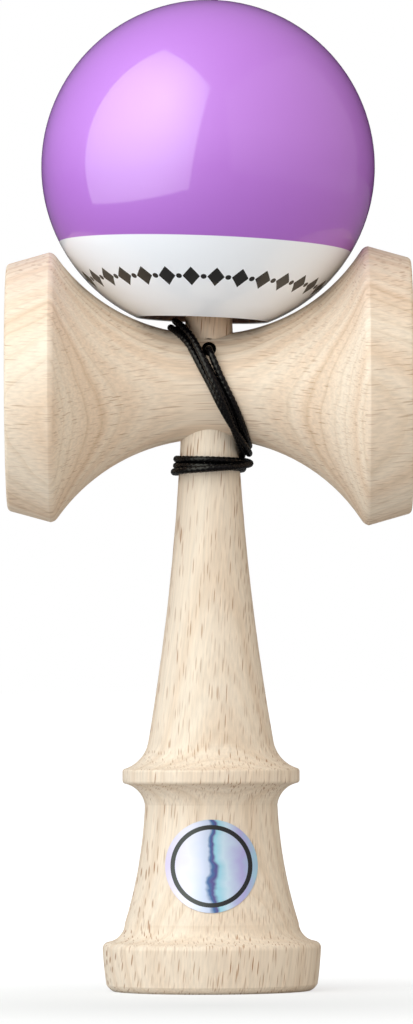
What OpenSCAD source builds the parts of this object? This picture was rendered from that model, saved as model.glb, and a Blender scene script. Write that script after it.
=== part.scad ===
// Kendama: a turned handle with a spike, a cross piece with two cups on its taper, and a ball
// that stands on the spike, tethered by a string wound round the waist and the neck.
// Z runs up the handle, X along the cross piece, and the front faces -Y.

/* [Handle] */
// Diameter of the taper at the height of the cross piece's axis
taper_d = 9.54; // [9:0.02:10]
// Diameter of the spike where its round tip begins
tip_d = 5.3; // [4.4:0.1:6]
// Diameter of the handle just above the collar
handle_d = 22.6; // [20:0.1:25]
// Depth of the hollow curve along the upper handle
handle_bow = 0.85; // [0.6:0.05:1.6]
// Largest diameter of the collar
collar_d = 31.8; // [29:0.1:34]
// Height of the middle of the collar above the base rim
collar_z = 38.5; // [36.5:0.1:41]
// Height of the collar's straight edge
collar_h = 2.7; // [2:0.1:3.4]
// Diameter of the lower handle just under the collar
foot_top_d = 23.8; // [22:0.1:26]
// Diameter of the lower handle just above the base
foot_low_d = 31.2; // [28:0.1:33]
// Depth of the hollow curve along the lower handle
foot_bow = 0.7; // [0.4:0.1:1.1]
// Largest diameter of the base
base_d = 39.2; // [37:0.1:42]
// Height of the base up to its rounded top edge
base_h = 8.2; // [6.5:0.1:9.5]
// Diameter of the base rim that the handle stands on, outside
rim_d = 35.4; // [34.6:0.1:36.4]
// Diameter of the base cup's mouth
base_cup_d = 32.4; // [30:0.1:33.4]
// Depth of the base cup
base_cup_depth = 7.5; // [6.4:0.1:9]

/* [Cross piece] */
// Height of the cross piece's axis above the base rim
sarado_z = 108.4; // [106:0.1:111]
// Length of the cross piece over both rims
sarado_w = 72.6; // [68:0.2:76]
// Diameter of the waist at its middle
waist_d = 18.8; // [18.2:0.1:20]
// Diameter over the corner between the waist and the large cup's band
big_corner_d = 50.5; // [48.6:0.1:52]
// Width of the band round the large cup
big_band_w = 8.3; // [7:0.1:10]
// Outer diameter of the large cup's rim
big_rim_d = 45.8; // [44.4:0.1:47]
// Diameter of the large dish at its mouth
big_dish_d = 42.8; // [41:0.1:43.4]
// Diameter over the corner between the waist and the small cup's band
small_corner_d = 48.8; // [46.6:0.1:50]
// Width of the band round the small cup
small_band_w = 8.3; // [7.5:0.1:10]
// Outer diameter of the small cup's rim
small_rim_d = 44.2; // [42:0.1:46]
// Diameter of the small dish at its mouth
small_dish_d = 39.6; // [37:0.1:40.8]
// Radius of both hollow dishes
dish_r = 26; // [25:0.1:28.5]
// Radial clearance of the cross piece on the taper
taper_fit = 0.05; // [0.03:0.01:0.1]
// Diameter of the string hole in the front of the waist
string_hole_d = 2.6; // [2:0.1:3]
// Height of the string hole above the cross piece's axis
string_hole_rise = 6.5; // [6:0.1:7]

/* [Ball] */
// Diameter of the ball
tama_d = 60; // [58:0.5:61]
// Diameter of the hole's bevelled edge on the ball
hole_edge_d = 23.8; // [22.6:0.1:25]
// Diameter of the bore that takes the spike
bore_d = 21; // [19.6:0.1:22]
// Diameter of the small string hole at the top
top_hole_d = 4; // [3:0.1:5]
// Diameter of the countersink round the small string hole
sink_d = 8; // [6.5:0.1:9]
// Lean of the ball on the spike, in degrees
tama_lean = 2.4; // [0:0.1:3]
// Gap between the ball's hole edge and the saddle of the waist
seat_gap = 0.3; // [0.2:0.05:0.5]
// Wood left between the bore's cone and the top of the ball
top_wall = 8.8; // [7.5:0.1:11]

/* [Bead and knots] */
// Diameter of the bead inside the ball
bead_d = 7; // [6.4:0.1:8]
// Diameter of the hole through the bead
bead_hole_d = 1.8; // [1.6:0.1:2.4]
// Diameter of the string's knots
knot_d = 3.2; // [2.8:0.1:3.4]
// Diameter of the hole across the handle that holds the anchor knot
cross_hole_d = 4; // [3.8:0.1:4.4]
// Room between the spike's tip and the knot under the bead
tip_room = 1.5; // [1:0.1:2]

/* [String] */
// Diameter of the string drawn tight, which leaves its turns clear of each other
string_d = 0.75; // [0.7:0.05:0.9]
// Space between neighbouring turns
string_space = 0.45; // [0.45:0.05:0.6]
// Space between the string and the wood under it
string_seat = 0.15; // [0.1:0.05:0.2]
// How far the turns swing to each side between the top and the underside of the waist
string_swing = 5.1; // [4.9:0.1:5.5]
// Height of the first turn round the neck
coil_z = 96; // [95:0.1:96.2]

/* [Sticker] */
// Diameter of the round foil sticker
sticker_d = 16.5; // [14:0.1:18]
// Height of the sticker's middle
sticker_z = 22.6; // [21.5:0.1:23]
// Thickness of the foil
sticker_t = 0.12; // [0.1:0.01:0.2]
// Thickness of the adhesive under the foil
sticker_glue = 0.03; // [0.02:0.01:0.05]

/* [Hidden] */
$fn = 96;

// Overrun of every cut
over = 2;
// Softening of turned edges
edge = 0.6;
// Heights of the hollow fillets over the base, under the collar and over the collar
base_fillet_h = 3.3;
under_fillet_h = 3.8;
over_fillet_h = 4.5;
// Hollow of those fillets
fillet_bow = 0.8;
// Width of the ledge on the base and of the shoulders of the collar, from the edge to the fillet
base_ledge = 1;
collar_ledge = 0.5;
// Steps along one curve of an outline
arc_steps = 10;

// A curve between two points of an outline, as an arc that stands out by bow on its left
function bow_turn(a, b, bow) = 4 * atan(2 * bow / norm(b - a));
function bow_r(a, b, bow) = norm(b - a) / (2 * sin(bow_turn(a, b, bow) / 2));
function bow_side(a, b) = [a[1] - b[1], b[0] - a[0]] / norm(b - a);
function bow_middle(a, b, bow) = (a + b) / 2 - bow_side(a, b) * (bow_r(a, b, bow) - bow);
function bow_arc(a, b, bow) = [
    for (i = [0 : arc_steps])
        let (t = bow_turn(a, b, bow) * (i / arc_steps - 1 / 2))
        bow_middle(a, b, bow)
            + bow_r(a, b, bow) * (bow_side(a, b) * cos(t) + (b - a) / norm(b - a) * sin(t))
];

// The radius of a hollow of a given mouth and depth
function hollow_r(mouth, depth) = (pow(mouth / 2, 2) + pow(depth, 2)) / (2 * depth);

// The cross piece's corners, as radius and distance from its middle, and its waist between them
big_corner = [big_corner_d / 2, sarado_w / 2 - big_band_w];
small_corner = [small_corner_d / 2, sarado_w / 2 - small_band_w];
function waist_arc_r(corner) = hollow_r(2 * corner[1], corner[0] - waist_d / 2);
function waist_curve_r(x, corner) =
    let (arc_r = waist_arc_r(corner))
    waist_d / 2 + arc_r - sqrt(pow(arc_r, 2) - pow(x, 2));
function waist_r(x) = waist_curve_r(x, x > 0 ? big_corner : small_corner);

// The ball's place: it stands just clear of the saddle by the edge of its hole, on the side that
// it leans to, or clear of the corner there where the saddle is too tight for the ball
tama_r = tama_d / 2;
hole_edge_angle = asin(hole_edge_d / tama_d);
seat_r = tama_r + seat_gap;
saddle_r = waist_arc_r(big_corner);
tama_rise = saddle_r > seat_r
    ? waist_d / 2 + saddle_r - (saddle_r - seat_r) / cos(hole_edge_angle - tama_lean)
    : big_corner[0] + sqrt(pow(seat_r, 2) - pow(big_corner[1], 2));
tama_z = sarado_z + tama_rise;
function tama_point(h) = [h * sin(tama_lean), 0, tama_z + h * cos(tama_lean)];

// Heights inside the ball, from its middle along its own axis
bead_r = bead_d / 2;
bore_top_h = tama_r - top_wall - (bore_d - top_hole_d) / 2;
bead_h = bore_top_h + bore_d / 2 - (bead_r + seat_gap) * sqrt(2);
bead_knot_h = bead_h - bead_r;
hole_edge_h = tama_r * cos(hole_edge_angle);
sink_h = sqrt(pow(tama_r, 2) - pow(sink_d / 2, 2));
knot_flat = knot_d / 8;

// The spike's tip stays clear of the knot under the bead
ken_h = tama_z + bead_knot_h - knot_d - tip_room;

// The taper and the spike
taper_slope = (taper_d - tip_d) / 2 / (ken_h - sarado_z);
function taper_r(z) = taper_d / 2 - (z - sarado_z) * taper_slope;
tip_r = tip_d / 2;
neck_z = sarado_z - waist_d / 2;

// Points where the curves of the handle's outline meet, from the base to the neck
base_top = [base_d / 2, base_h - edge];
base_low = [(base_d + rim_d) / 4 + edge / 2, 2 * edge];
ledge_top = [base_d / 2 - base_ledge, base_h + edge];
foot_low = [foot_low_d / 2, ledge_top[1] + base_fillet_h];
collar_low = [collar_d / 2, collar_z - collar_h / 2 + edge];
collar_top = [collar_d / 2, collar_z + collar_h / 2 - edge];
under_edge = [collar_d / 2 - collar_ledge, collar_z - collar_h / 2];
over_edge = [collar_d / 2 - collar_ledge, collar_z + collar_h / 2];
foot_top = [foot_top_d / 2, under_edge[1] - under_fillet_h];
handle_low = [handle_d / 2, over_edge[1] + over_fillet_h];
neck = [taper_r(neck_z), neck_z];

// The curves themselves
edge_bow = edge / 4;
foot_curve = bow_arc(foot_low, foot_top, foot_bow);
handle_curve = bow_arc(handle_low, neck, handle_bow);
ken_outline = concat(
    [[0, 0]],
    bow_arc([rim_d / 2, 0], base_low, -edge_bow),
    bow_arc(base_low, base_top, -edge_bow / 2),
    bow_arc(base_top, ledge_top, -edge_bow * 2),
    bow_arc(ledge_top, foot_low, fillet_bow),
    foot_curve,
    bow_arc(foot_top, under_edge, fillet_bow),
    bow_arc(under_edge, collar_low, -edge_bow),
    bow_arc(collar_top, over_edge, -edge_bow),
    bow_arc(over_edge, handle_low, fillet_bow),
    handle_curve,
    [
        for (i = [0 : arc_steps])
            let (a = 90 * i / arc_steps)
            [tip_r * cos(a), ken_h - tip_r + tip_r * sin(a)]
    ]
);
// Radius of the upper handle at a height between the collar and the neck
function handle_r(z) =
    let (
        middle = bow_middle(handle_low, neck, handle_bow),
        r = abs(bow_r(handle_low, neck, handle_bow))
    )
    middle[0] - sqrt(pow(r, 2) - pow(z - middle[1], 2));

// The outline of the cross piece, as radius and place along X
waist_steps = 40;
waist_curve = [
    for (i = [0 : waist_steps])
        let (
            waist_w = small_corner[1] + big_corner[1] - 2 * edge,
            x = edge - small_corner[1] + waist_w * i / waist_steps
        )
        [waist_r(x), x]
];
// A point on a cup's outer band, a given way out from its inner corner
function band_point(corner, band_w, rim_d, way) =
    corner + [(rim_d / 2 - corner[0]) * way / band_w, way];
function mirrored(points) = [for (i = [len(points) - 1 : -1 : 0]) [points[i][0], -points[i][1]]];
// The band and the rim of one cup, from the waist outward
function cup_outline(corner, band_w, rim_d) = concat(
    bow_arc(
        [waist_curve_r(corner[1] - edge, corner), corner[1] - edge],
        band_point(corner, band_w, rim_d, edge),
        -edge_bow
    ),
    bow_arc(
        band_point(corner, band_w, rim_d, band_w - edge),
        [rim_d / 2 - edge, sarado_w / 2],
        -edge_bow
    )
);
sarado_outline = concat(
    [[0, -sarado_w / 2]],
    mirrored(cup_outline(small_corner, small_band_w, small_rim_d)),
    waist_curve,
    cup_outline(big_corner, big_band_w, big_rim_d),
    [[0, sarado_w / 2]]
);
string_hole_z = sarado_z + string_hole_rise;

// The anchor knot sits in the handle's cross hole, against the bore of the cross piece
anchor_y = taper_r(string_hole_z) - knot_d / 2 - string_seat;
anchor_flat_y = anchor_y + knot_d / 2 - knot_flat;

// The string's turns round the waist, for the lead and for each turn after it: their lanes side by
// side at the front, counted from the middle of the bundle, and underneath, where the bundle is
// drawn in beside the neck and the last two turns lie on top of the others
front_lanes = [1.5, 0.5, -0.5, -1.5];
low_lanes = [0.5, -0.5, 0.5, -0.5];
low_layers = [0, 0, 1, 1];
string_step = string_d + string_space;
layer_step = string_step * 9 / 8;
string_lift = string_d / 2 + string_seat;
string_swing_angle = atan(string_swing / (waist_d / 2 + string_lift));
lane_step = string_step / cos(string_swing_angle);
// The bundle stands clear of the neck underneath, and moves over to clear the spike on top
string_room = string_step / 2;
string_mid = taper_r(neck_z) + string_room + lane_step / 2 - string_swing;
top_shift = string_mid + lane_step / 2 - string_swing + taper_r(sarado_z + waist_d / 2) + string_room;
// Angles of travel: 0 over the top, 90 at the front, 180 underneath and 270 behind
lead_angle = 95;
climb_angles = [80, 125];
gather_angles = [100, 175];
spread_angles = [185, 280];
drop_angles = [285, 335];
top_angle = 50;
leave_angle = 1230;
ring_angle = 15;

function eased(t) = let (u = min(max(t, 0), 1)) u * u * (3 - 2 * u);
function between(t, range) = eased((t - range[0]) / (range[1] - range[0]));
function turn_of(a) = floor(a / 360);
function lane(a) =
    let (
        turn = turn_of(a),
        next = min(turn + 1, len(front_lanes) - 1),
        low = between(a - 360 * turn, gather_angles),
        past = between(a - 360 * turn, spread_angles)
    )
    front_lanes[turn] * (1 - low) + low_lanes[turn] * (low - past) + front_lanes[next] * past;
function layer(a) =
    let (turn = turn_of(a), part = a - 360 * turn)
    low_layers[turn] * (between(part, climb_angles) - between(part, drop_angles));
function on_top(a) =
    let (part = a - 360 * turn_of(a))
    eased(1 - min(part, 360 - part) / top_angle);
function waist_point(a) =
    let (
        x = string_mid + lane(a) * lane_step - top_shift * on_top(a) - string_swing * cos(a),
        r = waist_r(x) + string_lift + layer_step * layer(a)
    )
    [x, -r * sin(a), sarado_z + r * cos(a)];

// The turns round the neck, by the angle from +X: down in one layer, then up again over it
neck_start = 10;
neck_climb = [880, 960];
neck_turn_back = 890;
neck_end = 1120;
neck_rise = string_step * 15 / 8;
function neck_point(a) =
    let (
        up = max(0, (a - neck_turn_back) / (neck_end - neck_turn_back)),
        z = coil_z - string_step * min(a, neck_turn_back) / 360 + neck_rise * up * up,
        r = handle_r(z) + string_lift + layer_step * between(a, neck_climb)
    )
    [r * cos(a), r * sin(a), z];

// The tether's own points: from the neck up behind the cross piece, over the back of the ball
// and down into its top hole
tether_route = [
    [0.8, 10.3, 101.7], [0.5, 12.1, 105], [0.2, 14.2, 109], [-0.1, 16.9, 114], [-0.4, 19.5, 119],
    [-0.6, 22.2, 124], [-0.6, 24.8, 129], [-0.5, 27.2, 133.3],
    [-0.4, 29, 137.4], [-0.2, 30.4, 142.5], [0, 30.9, 147.9], [0.2, 30.4, 153.3],
    [0.4, 29, 158.5], [0.6, 26.8, 163.4], [0.8, 23.7, 167.8], [1, 19.9, 171.6],
    [1.1, 15.5, 174.7], [1.2, 10.6, 177], [1.3, 6.4, 178.1], [1.3, 3.7, 178.3],
    [1.3, 1.7, 177.5], [1.2, 0.5, 175.8], [1.1, 0.1, 173.6]
];

// A smooth piece of string between two points, with the ways it runs there
function bridge_point(a, way_a, b, way_b, t) =
    let (pull = norm(b - a))
    (2 * t * t * t - 3 * t * t + 1) * a + (t * t * t - 2 * t * t + t) * pull * way_a
        + (3 * t * t - 2 * t * t * t) * b + (t * t * t - t * t) * pull * way_b;
function bridge(a, way_a, b, way_b, steps) =
    [for (i = [1 : steps - 1]) bridge_point(a, way_a, b, way_b, i / steps)];
function unit(v) = v / norm(v);

// The whole winding, from the anchor knot to where the tether starts, with finer or coarser rings
lead_in = [0, -anchor_flat_y, string_hole_z];
lead_out = [0, -sqrt(pow(waist_d / 2, 2) - pow(string_hole_rise, 2)) - string_d / 2, string_hole_z];
tether_way = unit(tether_route[1] - tether_route[0]);
winding_end = tether_route[0] - tether_way * string_d;
bridge_steps = 6;
function winding_route(fine) =
    let (
        step = ring_angle / fine,
        steps = bridge_steps * fine,
        small = step / 10,
        waist_a = waist_point(lead_angle),
        waist_b = waist_point(leave_angle),
        neck_a = neck_point(neck_start),
        neck_b = neck_point(neck_end)
    )
    concat(
        [lead_in, lead_in + [0, -string_d, 0], lead_out],
        bridge(lead_out, [0, -1, 0], waist_a, unit(waist_point(lead_angle + small) - waist_a), steps),
        [for (a = [lead_angle : step : leave_angle]) waist_point(a)],
        bridge(
            waist_b, unit(waist_b - waist_point(leave_angle - small)),
            neck_a, unit(neck_point(neck_start + small) - neck_a), steps
        ),
        [for (a = [neck_start : step : neck_end]) neck_point(a)],
        bridge(neck_b, unit(neck_b - neck_point(neck_end - small)), winding_end, tether_way, steps),
        [winding_end, tether_route[0]]
    );

// A smooth line through given points, with a point halfway between each two
function halfway(p, i) =
    let (before = p[max(i - 1, 0)], after = p[min(i + 2, len(p) - 1)])
    (9 * (p[i] + p[i + 1]) - before - after) / 16;
function smoothed(p) =
    concat([for (i = [0 : len(p) - 2]) each [p[i], halfway(p, i)]], [p[len(p) - 1]]);
bead_top = tama_point(bead_h + bead_r);
tether_line = concat(
    [tether_route[0], tether_route[0] + tether_way * string_d],
    smoothed([for (i = [1 : len(tether_route)]) i < len(tether_route) ? tether_route[i] : bead_top]),
    [tama_point(bead_knot_h + string_d), tama_point(bead_knot_h)]
);

// A tube of flat-sided rings square to a line of points
function ways(p) =
    let (last = len(p) - 1)
    [for (i = [0 : last]) unit(p[min(i + 1, last)] - p[max(i - 1, 0)])];
function squared(v, way) = unit(v - way * (v * way));
function sides_of(way) = [
    for (i = 0, up = squared([1, 2, 3], way[0]); i < len(way);
        i = i + 1, up = squared(up, way[min(i, len(way) - 1)])) up
];
module tube(p, d, sides) {
    way = ways(p);
    up = sides_of(way);
    rings = len(p);
    points = [
        for (i = [0 : rings - 1], s = [0 : sides - 1])
            let (a = 360 * s / sides)
            p[i] + d / 2 * (up[i] * cos(a) + cross(way[i], up[i]) * sin(a))
    ];
    wall = [
        for (i = [0 : rings - 2], s = [0 : sides - 1])
            let (t = (s + 1) % sides, a = i * sides, b = a + sides)
            each [[a + s, b + s, a + t], [a + t, b + s, b + t]]
    ];
    last = (rings - 1) * sides;
    caps = [for (s = [1 : sides - 2]) each [[0, s, s + 1], [last, last + s + 1, last + s]]];
    polyhedron(points, concat(wall, caps));
}

// The least gap of the winding to itself, measured on closely set points of its line
gap_fineness = 4;
gap_skip = 8;
function least_gap(p) =
    min([
        for (i = [0 : len(p) - 1 - gap_skip])
            min([for (j = [i + gap_skip : len(p) - 1]) norm(p[i] - p[j])])
    ]) - string_d;
echo(str("least gap of the winding to itself: ", least_gap(winding_route(gap_fineness)), " mm"));  // string_winding

// Puts its children on the ball's own axis, with the ball's middle at zero
module on_tama() {
    translate([0, 0, tama_z]) rotate([0, tama_lean, 0]) children();
}

// A hole along Y, from the axis of the handle to the front or to both sides
module hole_along_y(d, length) {
    translate([0, 0, string_hole_z]) rotate([90, 0, 0]) cylinder(d = d, h = length);
}

// A knot as a ball with a flat where the string leaves it, upward from zero at the flat
module knot() {
    difference() {
        translate([0, 0, knot_flat - knot_d / 2]) sphere(d = knot_d);
        translate([-knot_d, -knot_d, 0]) cube([2 * knot_d, 2 * knot_d, knot_d]);
    }
}

module ken_handle() {
    color("#EBD3B3") difference() {
        rotate_extrude() polygon(ken_outline);
        translate([0, 0, base_cup_depth - hollow_r(base_cup_d, base_cup_depth)])
            sphere(r = hollow_r(base_cup_d, base_cup_depth));
        translate([0, taper_d, 0]) hole_along_y(cross_hole_d, 2 * taper_d);
    }
}

// One hollow dish, seen along +X
module dish(mouth) {
    translate([sarado_w / 2 + sqrt(pow(dish_r, 2) - pow(mouth / 2, 2)), 0, 0]) sphere(r = dish_r);
}

module sarado_cups() {
    low_z = neck_z - waist_d / 2;
    high_z = sarado_z + waist_d;
    color("#F0D9BC") difference() {
        translate([0, 0, sarado_z]) difference() {
            rotate([0, 90, 0]) rotate_extrude() polygon(sarado_outline);
            dish(big_dish_d);
            mirror([1, 0, 0]) dish(small_dish_d);
        }
        translate([0, 0, low_z]) cylinder(
            h = high_z - low_z,
            r1 = taper_r(low_z) + taper_fit,
            r2 = taper_r(high_z) + taper_fit
        );
        hole_along_y(string_hole_d, waist_d);
    }
}

// The ball's bore, its cone and its string hole, as one turned cut
module tama_bore() {
    bevel_reach = tama_r + over - hole_edge_h;
    rotate_extrude() polygon([
        [0, -tama_r - over],
        [hole_edge_d / 2 + bevel_reach, -tama_r - over],
        [bore_d / 2, (hole_edge_d - bore_d) / 2 - hole_edge_h],
        [bore_d / 2, bore_top_h],
        [top_hole_d / 2, bore_top_h + (bore_d - top_hole_d) / 2],
        [top_hole_d / 2, sink_h - (sink_d - top_hole_d) / 2],
        [sink_d / 2 + over, sink_h + over],
        [0, sink_h + over]
    ]);
}

module tama_ball() {
    color("#B57BDB") on_tama() difference() {
        sphere(r = tama_r);
        tama_bore();
    }
}

module string_bead() {
    color("#26242A") on_tama() translate([0, 0, bead_h]) difference() {
        sphere(d = bead_d);
        translate([0, 0, -bead_d]) cylinder(d = bead_hole_d, h = 2 * bead_d);
    }
}

module string_winding() {
    color("#1B1B1D") tube(winding_route(1), string_d, 6);
}

module string_tether() {
    color("#1B1B1D") tube(tether_line, string_d, 8);
}

module anchor_knot() {
    color("#1B1B1D") translate(lead_in) rotate([90, 0, 0]) knot();
}

module bead_knot() {
    color("#1B1B1D") on_tama() translate([0, 0, bead_knot_h]) knot();
}

// The sticker is a skin over the lower handle, cut round from the front
module foil_sticker() {
    back = [for (p = foot_curve) p + [sticker_glue, 0]];
    front = [for (i = [len(foot_curve) - 1 : -1 : 0]) foot_curve[i] + [sticker_glue + sticker_t, 0]];
    color("#D8E2EE") intersection() {
        rotate_extrude() polygon(concat(back, front));
        translate([0, 0, sticker_z]) rotate([90, 0, 0]) cylinder(d = sticker_d, h = base_d);
    }
}

ken_handle();
sarado_cups();
tama_ball();
string_bead();
string_winding();
string_tether();
anchor_knot();
bead_knot();
foil_sticker();
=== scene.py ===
from math import atan, cos, pi, radians, sin, sqrt

import bpy
import numpy as np
from mathutils import Matrix, Quaternion, Vector


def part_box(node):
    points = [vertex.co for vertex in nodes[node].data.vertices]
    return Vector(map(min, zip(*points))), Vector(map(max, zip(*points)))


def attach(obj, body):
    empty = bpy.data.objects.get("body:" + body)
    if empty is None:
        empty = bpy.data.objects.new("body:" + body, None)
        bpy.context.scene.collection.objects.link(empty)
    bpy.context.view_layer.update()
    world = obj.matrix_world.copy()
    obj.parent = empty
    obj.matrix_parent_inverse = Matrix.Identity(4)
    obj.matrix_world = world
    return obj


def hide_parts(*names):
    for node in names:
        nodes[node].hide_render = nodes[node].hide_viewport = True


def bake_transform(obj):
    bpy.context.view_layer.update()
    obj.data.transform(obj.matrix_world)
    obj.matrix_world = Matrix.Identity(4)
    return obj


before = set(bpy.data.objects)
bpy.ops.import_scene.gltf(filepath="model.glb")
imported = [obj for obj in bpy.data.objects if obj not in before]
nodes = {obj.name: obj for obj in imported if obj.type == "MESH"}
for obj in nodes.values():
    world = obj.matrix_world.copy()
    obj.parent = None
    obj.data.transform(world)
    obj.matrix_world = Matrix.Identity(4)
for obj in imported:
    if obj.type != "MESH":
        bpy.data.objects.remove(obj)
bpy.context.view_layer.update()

# Handle: one turned piece of pale beech, from the base and the collar up to the neck that runs on as the spike.
# It is turned with the grain along its length, sanded and left raw. Under the ball the spike has painted shade.
SPIKE_SHADE_FROM_M, SPIKE_SHADE_TO_M = 0.114, 0.122
SPIKE_SHADE_TINT = (1.1, 0.89, 0.74)


def linear(colour):
    """The linear RGBA of an sRGB hex colour."""
    parts = [int(colour[i:i + 2], 16) / 255 for i in (1, 3, 5)]
    return *(p / 12.92 if p <= 0.04045 else ((p + 0.055) / 1.055) ** 2.4 for p in parts), 1


def add(tree, kind, *inputs, **settings):
    """Adds a node, gives its sockets values or links, in order or by name, and returns its first output."""
    made = tree.nodes.new("ShaderNode" + kind)
    for key in [k for k in settings if k[0].islower()]:
        setattr(made, key, settings.pop(key))
    ready = [s for s in made.inputs if s.enabled]
    named = [(made.inputs[k.replace("_", " ")], v) for k, v in settings.items()]
    for socket, value in [*zip(ready, inputs), *named]:
        if isinstance(value, bpy.types.NodeSocket):
            tree.links.new(value, socket)
        else:
            socket.default_value = value
    return next((s for s in made.outputs if s.enabled), None)


def new_finish(name):
    """A material with an empty node tree."""
    made = bpy.data.materials.new(name)
    made.use_nodes = True
    made.node_tree.nodes.clear()
    return made, made.node_tree


# Beech, turned and sanded: a pale cream ground with soft growth rings, fine fibres along the grain, and the short
# brown dashes of the rays, which are thin upright sheets in the wood and so show as lines only where cut end on.
# The real fibres are too fine to show, so they are drawn 0.4 mm wide.
ONE_MM = (0.001, 0.001, 0.001)
RING_MM = 1.9
SWAY_MM = (60, 16, 16)
SWAY_RINGS = 2
FIBRE_MM = (12, 0.4, 0.4)
GRAIN_DEPTH_M = 0.00006
LATE_WOOD = "#BE9B74"
RAY_BROWN = "#945A1A"


def beech(tree, grain, heart, towards, ray_mm, pale, deep, ring_share, ray_share):
    """Colour, roughness and relief of beech whose heart line runs along grain through the point heart, in metres.
    Its rays are sheets of the size ray_mm: along the grain, towards the given side, and across both."""
    grain = Vector(grain).normalized()
    out = Vector(towards)
    out = (out - grain * out.dot(grain)).normalized()
    turn = Matrix((grain, out, grain.cross(out))).transposed().to_euler()
    where = add(tree, "TexCoord").node.outputs["Object"]
    mm = add(tree, "Mapping", where, heart, turn, ONE_MM, vector_type="TEXTURE")

    # Rings: a soft line of late wood to each year, some years stronger than others.
    sway_place = add(tree, "VectorMath", mm, SWAY_MM, operation="DIVIDE")
    sway = add(tree, "TexNoise", sway_place, Scale=1, Detail=2)
    flat = add(tree, "VectorMath", mm, (0, 1, 1), operation="MULTIPLY")
    depth = add(tree, "VectorMath", flat, operation="LENGTH")
    years = add(tree, "Math", depth, 1 / RING_MM, operation="MULTIPLY")
    years = add(tree, "Math", sway, SWAY_RINGS, years, operation="MULTIPLY_ADD")
    year = add(tree, "Math", years, 0.5, operation="PINGPONG")
    line = add(tree, "MapRange", year, 0.18, 0.5, interpolation_type="SMOOTHSTEP")
    which = add(tree, "Math", years, operation="ROUND")
    strength = add(tree, "TexWhiteNoise", which, noise_dimensions="1D")
    late = add(tree, "Math", line, strength, operation="MULTIPLY")

    # Rays: dashes of unlike strength, stronger in some places than in others.
    ray_place = add(tree, "VectorMath", mm, ray_mm, operation="DIVIDE")
    ray = add(tree, "TexVoronoi", ray_place, Scale=1)
    chance = add(tree, "SeparateColor", ray.node.outputs["Color"])
    chance = add(tree, "MapRange", chance, 0, 1, 0.25, 1)
    crowd = add(tree, "MapRange", sway, 0.36, 0.58, 0.45, 1)
    fleck = add(tree, "MapRange", ray, 0.18, 0.36, 1, 0, interpolation_type="SMOOTHSTEP")
    fleck = add(tree, "Math", fleck, chance, operation="MULTIPLY")
    fleck = add(tree, "Math", fleck, crowd, operation="MULTIPLY")

    # Colour: the ground changes slowly over the years, and the late wood, the fibres and the rays lie over it.
    fibre_place = add(tree, "VectorMath", mm, FIBRE_MM, operation="DIVIDE")
    fibre = add(tree, "TexNoise", fibre_place, Scale=1, Detail=3)
    decade = add(tree, "TexNoise", years, noise_dimensions="1D", Scale=0.5, Detail=1)
    blush = add(tree, "MapRange", decade, 0.38, 0.62, interpolation_type="SMOOTHSTEP")
    ground = add(tree, "Mix", blush, linear(pale), linear(deep), data_type="RGBA")
    late = add(tree, "Math", late, ring_share, operation="MULTIPLY")
    ringed = add(tree, "Mix", late, ground, linear(LATE_WOOD), data_type="RGBA")
    tone = add(tree, "MapRange", fibre, 0.25, 0.75, 0.87, 1.08)
    fibred = add(tree, "VectorMath", ringed, operation="SCALE", Scale=tone)
    brown = add(tree, "Math", fleck, ray_share, operation="MULTIPLY")
    colour = add(tree, "Mix", brown, fibred, linear(RAY_BROWN), data_type="RGBA")
    roughness = add(tree, "MapRange", fibre, 0.2, 0.8, 0.48, 0.62)
    relief = add(tree, "Math", fleck, -0.6, fibre, operation="MULTIPLY_ADD")
    return colour, roughness, relief


handle_beech, tree = new_finish("turned_raw_beech_handle")
colour, roughness, relief = beech(
    tree, grain=(0.08, 0.02, 1), heart=(-0.012, 0.055, 0), towards=(0.2, -1, 0), ray_mm=(5.4, 1.5, 0.35),
    pale="#E7D7C3", deep="#E2CFB9", ring_share=0.2, ray_share=0.92)
where = add(tree, "TexCoord").node.outputs["Object"]
height = add(tree, "SeparateXYZ", where).node.outputs["Z"]
# Painted shade: the spike is tinted darker and warmer, for the shade and warm bounce light under the ball.
spike_shade = add(tree, "MapRange", height, SPIKE_SHADE_FROM_M, SPIKE_SHADE_TO_M)
spike_shaded = add(tree, "VectorMath", colour, SPIKE_SHADE_TINT, operation="MULTIPLY")
colour = add(tree, "Mix", spike_shade, colour, spike_shaded, data_type="RGBA")
normal = add(tree, "Bump", Strength=0.3, Distance=GRAIN_DEPTH_M, Height=relief)
surface = add(tree, "BsdfPrincipled", Base_Color=colour, Roughness=roughness, IOR=1.5, Specular_IOR_Level=0.25,
              Normal=normal)
add(tree, "OutputMaterial", surface)
nodes["ken_handle"].data.materials[0] = handle_beech

# Cross piece: one turned piece of the same beech with a large and a small cup, pressed on the handle's taper.
# Its grain runs from cup to cup, so the rings show as nested arcs on the flares and as lines in the dishes.
cross_beech, tree = new_finish("turned_raw_beech_cross_piece")
colour, roughness, relief = beech(
    tree, grain=(1, 0.02, 0.03), heart=(0, 0.06, 0.13), towards=(0, -1, -0.3), ray_mm=(9, 2, 0.34),
    pale="#EAD9C4", deep="#E3CBB2", ring_share=0.4, ray_share=0.52)
normal = add(tree, "Bump", Strength=0.3, Distance=GRAIN_DEPTH_M, Height=relief)
surface = add(tree, "BsdfPrincipled", Base_Color=colour, Roughness=roughness, IOR=1.5, Specular_IOR_Level=0.25,
              Normal=normal)
add(tree, "OutputMaterial", surface)
nodes["sarado_cups"].data.materials[0] = cross_beech

# String: one black braided nylon cord, knotted inside the handle and led out through the small hole in the waist.
# It is wound round the waist and the neck, and then runs up behind the ball and down into the ball's top hole.
# Its sizes are in millimetres and the angles of its turns in degrees.
STRING_MM = 1.27
TIGHT_MM = 0.75
STRANDS = 4
SIDES = 6 * STRANDS
RINGS_PER_PICK = 6
VALLEY = 0.82

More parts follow.
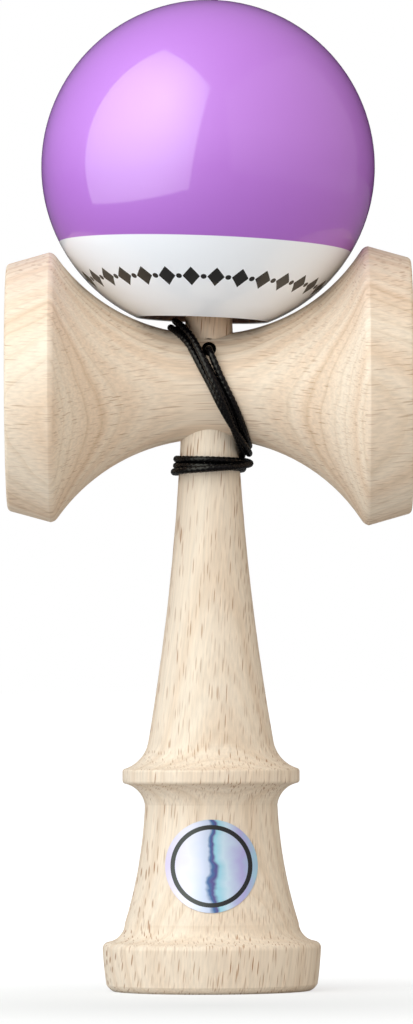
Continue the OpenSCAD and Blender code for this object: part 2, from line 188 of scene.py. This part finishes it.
# The wood that it lies on: the waist with the corners of both cups, the hole with the anchor knot behind it, the
# taper, and the hollow of the upper handle.
WAIST_R, WAIST_Z = 9.4, 108.4
LARGE_CORNER_R, SMALL_CORNER_R, CORNER_X = 25.25, 24.4, 28.0
HOLE_RISE = 6.5
ANCHOR_FACE_Y = -3.94
TAPER_R, TAPER_FALL = 4.77, 0.04313
HOLLOW_LOW_R, HOLLOW_LOW_Z, HOLLOW_HIGH_Z, HOLLOW_BOW = 11.3, 44.35, 99, 0.85

# How it is wound: the spacing of the turns and layers, the height over the wood, how far a turn swings aside, and
# the angles between which the turns lie, are drawn together, part again, climb on each other and cross the top.
STEP = 1.2
LAYER = STEP * 9 / 8
LIFT = 0.525
SWING = 5.1
WAIST_FROM, WAIST_TO = 95, 1230
FRONT_LANES = np.array((1, 0.1, -0.9, -0.3, 0))
LOW_LANES = np.array((0.5, -0.5, 0.5, -0.5))
GATHER, SPREAD, CLIMB, CROWN = (100, 175), (185, 280), (80, 125), (50, 0)
NECK_FROM, NECK_LOWEST, NECK_TO = 10, 890, 1120
NECK_Z = 96
NECK_RISE = STEP * 15 / 8
NECK_CLIMB = (880, 960)


def eased(value, start, end):
    """From 0 at start to 1 at end, slow at both."""
    t = np.clip((value - start) / (end - start), 0, 1)
    return t * t * (3 - 2 * t)


def unit(v):
    return v / np.linalg.norm(v)


def waist_r(x):
    """Radius of the cross piece's waist, an arc on each side of its middle that ends at the cup's corner."""
    rise = np.where(x > 0, LARGE_CORNER_R, SMALL_CORNER_R) - WAIST_R
    arc_r = (CORNER_X ** 2 + rise ** 2) / (2 * rise)
    return WAIST_R + arc_r - np.sqrt(arc_r ** 2 - x ** 2)


def taper_r(z):
    """Radius of the handle's taper, which grows slimmer upwards."""
    return TAPER_R - (z - WAIST_Z) * TAPER_FALL


def handle_r(z):
    """Radius of the upper handle, a hollow arc from above the collar to the neck."""
    low, high = np.array((HOLLOW_LOW_R, HOLLOW_LOW_Z)), np.array((taper_r(HOLLOW_HIGH_Z), HOLLOW_HIGH_Z))
    chord = np.linalg.norm(high - low)
    arc_r = (chord ** 2 / 4 + HOLLOW_BOW ** 2) / (2 * HOLLOW_BOW)
    along = (high - low) / chord
    middle = (low + high) / 2 + np.array((along[1], -along[0])) * (arc_r - HOLLOW_BOW)
    return middle[0] - np.sqrt(arc_r ** 2 - (z - middle[1]) ** 2)


def waist_points(a):
    """The turns round the waist by their angle: 0 over the top, 90 at the front, 180 underneath, 270 behind.
    Three lie side by side with the last one over them, and underneath they are drawn in beside the neck."""
    turn = (a // 360).astype(int)
    part = a - 360 * turn
    gathered, spread = eased(part, *GATHER), eased(part, *SPREAD)
    front, next_front = FRONT_LANES[turn], FRONT_LANES[turn + 1]
    lane = front * (1 - gathered) + LOW_LANES[turn] * (gathered - spread) + next_front * spread
    layer = np.where(turn == 2, eased(part, *CLIMB), turn > 2)
    lane_step = STEP / cos(atan(SWING / (WAIST_R + LIFT)))
    middle = taper_r(WAIST_Z - WAIST_R) + STEP / 2 + lane_step / 2 - SWING
    top_shift = middle + lane_step / 2 - SWING + taper_r(WAIST_Z + WAIST_R) + STEP / 2
    on_top = eased(np.minimum(part, 360 - part), *CROWN)
    x = middle + lane * lane_step - top_shift * on_top - SWING * np.cos(np.radians(a))
    r = waist_r(x) + LIFT + LAYER * layer
    return np.stack((x, -r * np.sin(np.radians(a)), WAIST_Z + r * np.cos(np.radians(a))), 1)


def neck_points(a):
    """The turns round the neck by their angle from +X: down in one layer, then up again over it."""
    up = np.maximum(0, (a - NECK_LOWEST) / (NECK_TO - NECK_LOWEST))
    z = NECK_Z - STEP * np.minimum(a, NECK_LOWEST) / 360 + NECK_RISE * up ** 2
    r = handle_r(z) + LIFT + LAYER * eased(a, *NECK_CLIMB)
    return np.stack((r * np.cos(np.radians(a)), r * np.sin(np.radians(a)), z), 1)


def bridge(a, way_a, b, way_b):
    """A smooth piece of string from a to b that leaves and arrives the given ways."""
    t = np.linspace(0, 1, 41)[1:-1, None]
    pull = np.linalg.norm(b - a)
    return ((2 * t ** 3 - 3 * t ** 2 + 1) * a + (t ** 3 - 2 * t ** 2 + t) * pull * way_a
            + (3 * t ** 2 - 2 * t ** 3) * b + (t ** 3 - t ** 2) * pull * way_b)


def braided(name, line, diameter):
    """A tube along a line in mm, with the strands of a round braid standing out of it as they pass over and under.
    Returns its object and its ring centres, in metres."""
    pick = pi * diameter / STRANDS
    run = np.concatenate(([0], np.cumsum(np.linalg.norm(np.diff(line, axis=0), axis=1))))
    rings = int(run[-1] / pick * RINGS_PER_PICK)
    at = np.linspace(0, run[-1], rings + 1)
    centres = np.stack([np.interp(at, run, line[:, i]) for i in range(3)], 1)
    ways = np.gradient(centres, axis=0)
    ways /= np.linalg.norm(ways, axis=1)[:, None]
    ups = [unit(np.cross(ways[0], (1, 2, 3)))]
    for way in ways[1:]:
        ups.append(unit(ups[-1] - way * ups[-1].dot(way)))
    ups = np.array(ups)
    u = np.arange(SIDES) / SIDES * 2 * pi
    over = np.cos(STRANDS * u)[None, :]
    one = np.cos(STRANDS * u[None, :] + 2 * pi * at[:, None] / pick) / 2 + 0.5
    other = np.cos(STRANDS * u[None, :] - 2 * pi * at[:, None] / pick) / 2 + 0.5
    stand = np.maximum(one * (0.75 + 0.25 * over), other * (0.75 - 0.25 * over))
    r = diameter / 2 * (VALLEY + (1 - VALLEY) * stand)
    across = np.cos(u)[None, :, None] * ups[:, None] + np.sin(u)[None, :, None] * np.cross(ways, ups)[:, None]
    points = (centres[:, None] + r[..., None] * across).reshape(-1, 3) / 1000
    i, s = np.meshgrid(np.arange(rings), np.arange(SIDES), indexing="ij")
    t = (s + 1) % SIDES
    wall = np.stack((i * SIDES + s, i * SIDES + t, (i + 1) * SIDES + t, (i + 1) * SIDES + s), -1).reshape(-1, 4)
    ends = [list(range(SIDES))[::-1], list(range(rings * SIDES, (rings + 1) * SIDES))]
    mesh = bpy.data.meshes.new(name)
    mesh.from_pydata(points.tolist(), [], wall.tolist() + ends)
    mesh.shade_smooth()
    made = bpy.data.objects.new(name, mesh)
    bpy.context.scene.collection.objects.link(made)
    return made, centres / 1000


tether_route = np.array([
    (0.8, 10.3, 101.7), (0.5, 12.1, 105), (0.2, 14.2, 109), (-0.1, 16.9, 114), (-0.4, 19.5, 119),
    (-0.6, 22.2, 124), (-0.6, 24.8, 129), (-0.5, 27.2, 133.3), (-0.4, 29, 137.4), (-0.2, 30.4, 142.5),
    (0, 30.9, 147.9), (0.2, 30.4, 153.3), (0.4, 29, 158.5), (0.6, 26.8, 163.4), (0.8, 23.7, 167.8),
    (1, 19.9, 171.6), (1.1, 15.5, 174.7), (1.2, 10.6, 177), (1.3, 6.4, 178.1), (1.3, 3.7, 178.3),
    (1.3, 1.7, 177.5), (1.2, 0.5, 175.8), (1.1, 0.1, 173.6)])
tether_way = unit(tether_route[1] - tether_route[0])
lead_in = np.array((0, ANCHOR_FACE_Y, WAIST_Z + HOLE_RISE))
lead_out = np.array((0, -sqrt(WAIST_R ** 2 - HOLE_RISE ** 2) - TIGHT_MM / 2, WAIST_Z + HOLE_RISE))
waist = waist_points(np.arange(WAIST_FROM, WAIST_TO + 1.0))
neck = neck_points(np.arange(NECK_FROM, NECK_TO + 1.0))
winding_end = tether_route[0] - tether_way * TIGHT_MM
winding_line = np.concatenate((
    [lead_in, lead_out],
    bridge(lead_out, np.array((0, -1, 0)), waist[0], unit(waist[1] - waist[0])),
    waist,
    bridge(waist[-1], unit(waist[-1] - waist[-2]), neck[0], unit(neck[1] - neck[0])),
    neck,
    bridge(neck[-1], unit(neck[-1] - neck[-2]), winding_end, tether_way),
    [winding_end, tether_route[0]]))

# Nylon, braided and dyed black: the strands catch the light in small dashes and stay near black between them.
# The filaments are too fine to show, so the yarn is mottled 0.3 mm wide.
YARN_M = (0.0003, 0.0003, 0.0003)
nylon, tree = new_finish("braided_black_nylon")
where = add(tree, "TexCoord").node.outputs["Object"]
yarn_place = add(tree, "VectorMath", where, YARN_M, operation="DIVIDE")
yarn = add(tree, "TexNoise", yarn_place, Scale=1, Detail=2)
tone = add(tree, "MapRange", yarn, 0.3, 0.7)
colour = add(tree, "Mix", tone, linear("#030304"), linear("#0B0A0C"), data_type="RGBA")
roughness = add(tree, "MapRange", yarn, 0.3, 0.7, 0.2, 0.32)
surface = add(tree, "BsdfPrincipled", Base_Color=colour, Roughness=roughness, IOR=1.53, Specular_IOR_Level=0.16,
              Specular_Tint=(1, 0.9, 0.86, 1))
add(tree, "OutputMaterial", surface)

winding, winding_path = braided("string_winding_braid", winding_line, STRING_MM)
winding.data.materials.append(nylon)
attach(winding, "handle")
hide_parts("string_winding")

# Anchor knot: the end of the same string, tied in an overhand knot and pulled tight.
# It sits in the handle's cross hole, behind the small hole in the waist, which it is too large for.
KNOT_STRING_MM = 0.8
KNOT_LOOP_MM = 0.4


def knot(name, place, along):
    """A tight overhand knot round a line through place: the string's own three-lobed loop."""
    t = np.linspace(0, 2 * pi, 240)
    out = 2 + np.cos(3 * t)
    loop = np.stack((out * np.cos(2 * t), out * np.sin(2 * t), 2 * np.sin(3 * t)), 1)
    turn = np.array(Vector((0, 0, 1)).rotation_difference(Vector(along)).to_matrix())
    made, _ = braided(name, place + KNOT_LOOP_MM * loop @ turn.T, KNOT_STRING_MM)
    made.data.materials.append(nylon)
    return made


anchor_low, anchor_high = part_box("anchor_knot")
anchor = knot("string_anchor_overhand", np.array((anchor_low + anchor_high) / 2) * 1000, (0, -1, 0))
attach(anchor, "handle")
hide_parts("anchor_knot")

# Sticker: a round of holographic foil film, die cut and stuck to the front of the lower handle.
# It follows the hollow of the wood, and its print is a plain black ring.
STICKER_AT_M = (0, 0, 0.0226)
STICKER_REACH_MM = 8.5
WOBBLE_MM = (5, 5, 3)
WOBBLE_SHIFT_MM = 4
INK_RING_R_MM = 6.9
INK_HALF_MM = 0.4

# Film, metallised and embossed: a satin sheen, upright bands of pale violet, blue and green, and flat black ink.
foil, tree = new_finish("holographic_foil_film")
where = add(tree, "TexCoord").node.outputs["Object"]
mm = add(tree, "Mapping", where, STICKER_AT_M, (0, 0, 0), ONE_MM, vector_type="TEXTURE")
wobble_place = add(tree, "VectorMath", mm, WOBBLE_MM, operation="DIVIDE")
wobble = add(tree, "TexNoise", wobble_place, Scale=1, Detail=2)
across = add(tree, "SeparateXYZ", mm)
shift = add(tree, "Math", wobble, WOBBLE_SHIFT_MM, -WOBBLE_SHIFT_MM / 2, operation="MULTIPLY_ADD")
across = add(tree, "Math", across, shift, operation="ADD")
band = add(tree, "MapRange", across, -STICKER_REACH_MM, STICKER_REACH_MM)
# Painted reflection: the dark blue band down the middle, with an edge that wobbles, is a painted reflection.
foil_bands_painted_reflection = add(tree, "ValToRGB", band)
colours = foil_bands_painted_reflection.node.color_ramp.elements
for place, shade in ((0.25, "#C9C6D8"), (0.46, "#B4BDD4"), (0.495, "#335E90"), (0.525, "#4E4080"),
                     (0.56, "#8CC0D2"), (0.66, "#BFD3E2"), (0.84, "#ACA7D6")):
    colours.new(place).color = linear(shade)
colours[0].color = linear("#BDB1CF")
colours[-1].color = linear("#9CCAD8")
flat = add(tree, "VectorMath", mm, (1, 0, 1), operation="MULTIPLY")
out = add(tree, "VectorMath", flat, operation="LENGTH")
from_ring = add(tree, "Math", out, INK_RING_R_MM, operation="SUBTRACT")
from_ring = add(tree, "Math", from_ring, operation="ABSOLUTE")
ring = add(tree, "Math", from_ring, INK_HALF_MM, operation="LESS_THAN")
colour = add(tree, "Mix", ring, foil_bands_painted_reflection, linear("#131215"), data_type="RGBA")
metallic = add(tree, "Math", 0.15, ring, operation="SUBTRACT", use_clamp=True)
surface = add(tree, "BsdfPrincipled", Base_Color=colour, Metallic=metallic, Roughness=0.42)
add(tree, "OutputMaterial", surface)
nodes["foil_sticker"].data.materials[0] = foil

# Tether: the free end of the same string, from the neck up behind the ball and down through its top hole.
# It passes through the bead inside the ball, which lies under the hole, and ends in the stop knot.
LEAN = radians(2.4)
BALL = np.array((0, 0, 147.933))
BEAD_TOP, BEAD_FOOT = 21.326, 14.326
ball_up = np.array((sin(LEAN), 0, cos(LEAN)))


def smoothed(points):
    """The same line with a point halfway between each two, on a smooth curve through them all."""
    wide = np.concatenate((points[:1], points, points[-1:]))
    halfway = (9 * (points[:-1] + points[1:]) - wide[:-3] - wide[3:]) / 16
    line = np.empty((2 * len(points) - 1, 3))
    line[::2], line[1::2] = points, halfway
    return line


tether_line = np.concatenate((tether_route[1:], [BALL + ball_up * BEAD_TOP]))
for _ in range(4):
    tether_line = smoothed(tether_line)
tether_line = np.concatenate((
    [tether_route[0], tether_route[0] + tether_way * TIGHT_MM], tether_line, [BALL + ball_up * BEAD_FOOT]))
tether, tether_path = braided("string_tether_braid", tether_line, STRING_MM)
tether.data.materials.append(nylon)
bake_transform(tether)
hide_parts("string_tether")
stop_low, stop_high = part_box("bead_knot")
stop = knot("string_stop_overhand", np.array((stop_low + stop_high) / 2) * 1000, ball_up)
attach(stop, "bead")
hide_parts("bead_knot")

# Bead: a small ball of black ABS, moulded with a hole through it and threaded on the string inside the ball.
# It is too large for the small hole at the ball's top, so it holds the string there.
GRIT_M = (0.0004, 0.0004, 0.0004)
GRIT_DEPTH_M = 0.00003

# ABS, moulded: a fine even grain and a dull gloss. The real grain is finer, and is drawn 0.4 mm wide to show.
abs_black, tree = new_finish("moulded_black_abs")
where = add(tree, "TexCoord").node.outputs["Object"]
grit_place = add(tree, "VectorMath", where, GRIT_M, operation="DIVIDE")
grit = add(tree, "TexNoise", grit_place, Scale=1, Detail=2)
tone = add(tree, "Mix", grit, linear("#1C1B1E"), linear("#2B2A2E"), data_type="RGBA")
roughness = add(tree, "MapRange", grit, 0.2, 0.8, 0.38, 0.5)
normal = add(tree, "Bump", Strength=0.2, Distance=GRIT_DEPTH_M, Height=grit)
surface = add(tree, "BsdfPrincipled", Base_Color=tone, Roughness=roughness, IOR=1.53, Normal=normal)
add(tree, "OutputMaterial", surface)
nodes["string_bead"].data.materials[0] = abs_black

# Ball: a turned beech ball, sprayed white, masked and sprayed purple above, printed and cleared.
# Its bore and the bevel of the hole are left bare, and are dark with painted shade. Heights are in mm from the
# ball's middle.
PAINT_TIP = radians(-1.3)
MASK_H = (-14.58, -14.52)
SHADE_FADE_H = (-15, 4)
PAINTED_R = (29.75, 29.85)
PEEL_MM = (3, 3, 3)

# The print: a row of upright lozenges round the white band, with a dot between each two.
LOZENGES = 30
PITCH = 4.52
ROW_H = -21.4
ROW_SLANT = 1.39
LOZENGE_HALF, LOZENGE_SLOPE = 1.6, 0.75
DOT_R2 = 0.3

# Lacquer, sprayed and cleared: deep even colour, a faint orange peel, and a clear coat that mirrors the lights.
lacquer, tree = new_finish("sprayed_gloss_lacquer_on_beech")
where = add(tree, "TexCoord").node.outputs["Object"]
mm = add(tree, "Mapping", where, BALL / 1000, (PAINT_TIP, LEAN, 0), ONE_MM, vector_type="TEXTURE")
part = add(tree, "SeparateXYZ", mm)
x, y, h = part, part.node.outputs["Y"], part.node.outputs["Z"]
turn = add(tree, "Math", y, x, operation="ARCTAN2")
count = add(tree, "Math", turn, LOZENGES / (2 * pi), 0.5, operation="MULTIPLY_ADD")
cell = add(tree, "Math", count, operation="FRACT")
u = add(tree, "Math", cell, PITCH, -PITCH / 2, operation="MULTIPLY_ADD")
u = add(tree, "Math", u, operation="ABSOLUTE")
v = add(tree, "Math", h, ROW_SLANT, -ROW_SLANT * ROW_H, operation="MULTIPLY_ADD")
v = add(tree, "Math", v, operation="ABSOLUTE")
slope = add(tree, "Math", v, LOZENGE_SLOPE, u, operation="MULTIPLY_ADD")
lozenge = add(tree, "Math", slope, LOZENGE_HALF, operation="LESS_THAN")
gap = add(tree, "Math", PITCH / 2, u, operation="SUBTRACT")
gap2 = add(tree, "Math", gap, gap, operation="MULTIPLY")
dot2 = add(tree, "Math", v, v, gap2, operation="MULTIPLY_ADD")
dot = add(tree, "Math", dot2, DOT_R2, operation="LESS_THAN")
ink = add(tree, "Math", lozenge, dot, operation="MAXIMUM")
white = add(tree, "Mix", ink, linear("#F5F8FE"), linear("#141315"), data_type="RGBA")
# Painted shade: the purple is deeper towards the bottom and paler above.
shade_fade = add(tree, "MapRange", h, *SHADE_FADE_H)
purple = add(tree, "Mix", shade_fade, linear("#AC69CC"), linear("#BC7BDA"), data_type="RGBA")
above = add(tree, "MapRange", h, *MASK_H)
paint = add(tree, "Mix", above, white, purple, data_type="RGBA")
# Painted shade: the bare wood of the bore and the bevel is given dark colours for the shade inside the hole.
bare_bore_painted_shade, _, _ = beech(
    tree, grain=(0, 0, 1), heart=(0, 0.05, 0.1), towards=(0, -1, 0), ray_mm=(6, 3, 0.4),
    pale="#5E3A26", deep="#4A2C1B", ring_share=0.4, ray_share=0.66)
radius = add(tree, "VectorMath", mm, operation="LENGTH")
painted = add(tree, "MapRange", radius, *PAINTED_R)
colour = add(tree, "Mix", painted, bare_bore_painted_shade, paint, data_type="RGBA")
peel_place = add(tree, "VectorMath", mm, PEEL_MM, operation="DIVIDE")
peel = add(tree, "TexNoise", peel_place, Scale=1, Detail=1)
roughness = add(tree, "MapRange", peel, 0.2, 0.8, 0.4, 0.5)
surface = add(tree, "BsdfPrincipled", Base_Color=colour, Roughness=roughness, IOR=1.5, Specular_IOR_Level=0.2,
              Coat_Weight=painted, Coat_Roughness=0.06)
add(tree, "OutputMaterial", surface)
nodes["tama_ball"].data.materials[0] = lacquer

# Studio: a sweep of white paper, a large softbox at the front left, a weaker warm one at the right, a white room.
# Each softbox is two lights: one lights the object, and one is only mirrored in its gloss, brightest in one spot.
# The paper and the room are darker in the gloss, as if black flags stood round the object.
FLOOR_REACH_M = 40
SHADE_AT_M = (0, -0.06, 0)
SHADE_REACH_M = 0.2
floor_mesh = bpy.data.meshes.new("studio_floor")
floor_corners = [(x * FLOOR_REACH_M, y * FLOOR_REACH_M, 0) for x, y in ((-1, -1), (1, -1), (1, 1), (-1, 1))]
floor_mesh.from_pydata(floor_corners, [], [(0, 1, 2, 3)])
floor = bpy.data.objects.new("studio_floor", floor_mesh)
bpy.context.scene.collection.objects.link(floor)

# Paper, matt and white: no sheen, a soft shade round the object, and burnt out to white away from it.
paper, tree = new_finish("matt_white_paper")
rays = add(tree, "LightPath").node.outputs
in_view, in_gloss = rays["Is Camera Ray"], rays["Is Glossy Ray"]
white = add(tree, "Mix", in_gloss, linear("#C6C6C6"), linear("#7C7C7C"), data_type="RGBA")
white = add(tree, "Mix", in_view, white, linear("#8C8C8C"), data_type="RGBA")
where = add(tree, "TexCoord").node.outputs["Object"]
away = add(tree, "VectorMath", where, SHADE_AT_M, operation="DISTANCE")
burn = add(tree, "MapRange", away, 0, SHADE_REACH_M, 0.5, 0.97)
burn = add(tree, "Math", burn, in_view, operation="MULTIPLY")
surface = add(tree, "BsdfPrincipled", Base_Color=white, Roughness=0.9, Emission_Color=(1, 1, 1, 1),
              Emission_Strength=burn)
add(tree, "OutputMaterial", surface)
floor_mesh.materials.append(paper)


def softbox(name, place, facing, size, power, roll=0):
    """A rectangular softbox at place that shines the way of facing, rolled by some degrees."""
    light = bpy.data.lights.new(name, "AREA")
    light.shape = "RECTANGLE"
    light.size, light.size_y = size
    light.energy = power
    made = bpy.data.objects.new(name, light)
    made.location = place
    turn = Vector(facing).to_track_quat("-Z", "Y") @ Quaternion((0, 0, 1), radians(roll))
    made.rotation_euler = turn.to_euler()
    bpy.context.scene.collection.objects.link(made)
    return made


def grade(box, hot, reach, colour, most, least):
    """Makes a softbox brightest at hot, from (0, 0) to (1, 1) over its face, and dimmest at reach from there."""
    box.data.use_nodes = True
    tree = box.data.node_tree
    tree.nodes.clear()
    spot = add(tree, "NewGeometry").node.outputs["Parametric"]
    spot = add(tree, "VectorMath", spot, hot, operation="DISTANCE")
    power = add(tree, "MapRange", spot, 0, reach, most, least)
    glow = add(tree, "Emission", colour, power)
    add(tree, "OutputLight", glow)


key = softbox("key_softbox", place=(-0.39, -0.59, 0.75), facing=(0.866, 0.466, -0.183), size=(1.27, 1.87),
              power=12.6)
key.data.color = (0.95, 0.98, 1)
key.visible_glossy = False
key_shine = softbox("key_softbox_shine", place=(-0.142, -0.198, 0.341), facing=(0.861, 0.483, -0.158),
                    size=(0.445, 0.625), power=5.2, roll=-5)
key_shine.visible_diffuse = key_shine.visible_camera = False
grade(key_shine, hot=(0.5, 0.5, 0), reach=0.6, colour=(0.9, 1, 0.9, 1), most=1, least=0.4)

FILL_FACING, FILL_SIZE = (-0.94, 0.342, 0), (2.1, 2.0)
fill = softbox("fill_softbox", place=(0.70, -0.26, 0.45), facing=FILL_FACING, size=FILL_SIZE, power=6.2)
fill.data.color = (1, 0.85, 0.63)
fill.visible_glossy = False
fill_shine = softbox("fill_softbox_shine", place=(0.69, -0.256, 0.45), facing=FILL_FACING, size=FILL_SIZE,
                     power=5.5)
fill_shine.visible_diffuse = fill_shine.visible_camera = False
grade(fill_shine, hot=(0, 0.5, 0), reach=1, colour=(1, 0.93, 1, 1), most=1.25, least=0.5)

ROOM_LIGHT_SIDE = (-0.45, -0.65, 0.61)
world = bpy.data.worlds.new("white_room")
world.use_nodes = True
tree = world.node_tree
tree.nodes.clear()
rays = add(tree, "LightPath").node.outputs
in_view, in_gloss = rays["Is Camera Ray"], rays["Is Glossy Ray"]
way = add(tree, "TexCoord")
facing = add(tree, "VectorMath", way, ROOM_LIGHT_SIDE, operation="DOT_PRODUCT")
share = add(tree, "MapRange", facing, -1, 1)
tint = add(tree, "Mix", share, (1, 0.985, 0.97, 1), (0.95, 0.985, 1, 1), data_type="RGBA")
tint = add(tree, "Mix", in_view, tint, (1, 1, 1, 1), data_type="RGBA")
glow = add(tree, "MapRange", share, 0, 1, 0.18, 0.73)
flagged = add(tree, "MapRange", share, 0.2, 1, 0, 0.5)
glow = add(tree, "Mix", in_gloss, glow, flagged)
glow = add(tree, "Mix", in_view, glow, 1)
sky = add(tree, "Background", tint, glow)
add(tree, "OutputWorld", sky)
bpy.context.scene.world = world
bpy.context.scene.view_settings.view_transform = "Standard"

# Camera: a long lens 1.3 m in front, a little above the collar and tilted up a touch.
# It is rolled by a fraction of a degree, and everything is in focus.
SENSOR_MM = 36
FOCAL_PX, PICTURE_PX = 7238, 1024
camera = bpy.data.objects.new("camera", bpy.data.cameras.new("camera"))
camera.data.sensor_width = SENSOR_MM
camera.data.lens = SENSOR_MM * FOCAL_PX / PICTURE_PX
eye, aim, roll = Vector((0, -1.3, 0.055)), Vector((-0.00058, 0, 0.08586)), radians(-0.28)
ahead = (aim - eye).normalized()
level = ahead.cross(Vector((0, 0, 1))).normalized()
right = level * cos(roll) + level.cross(ahead) * sin(roll)
camera.matrix_world = Matrix.Translation(eye) @ Matrix((right, right.cross(ahead), -ahead)).transposed().to_4x4()
bpy.context.scene.collection.objects.link(camera)
bpy.context.scene.camera = camera
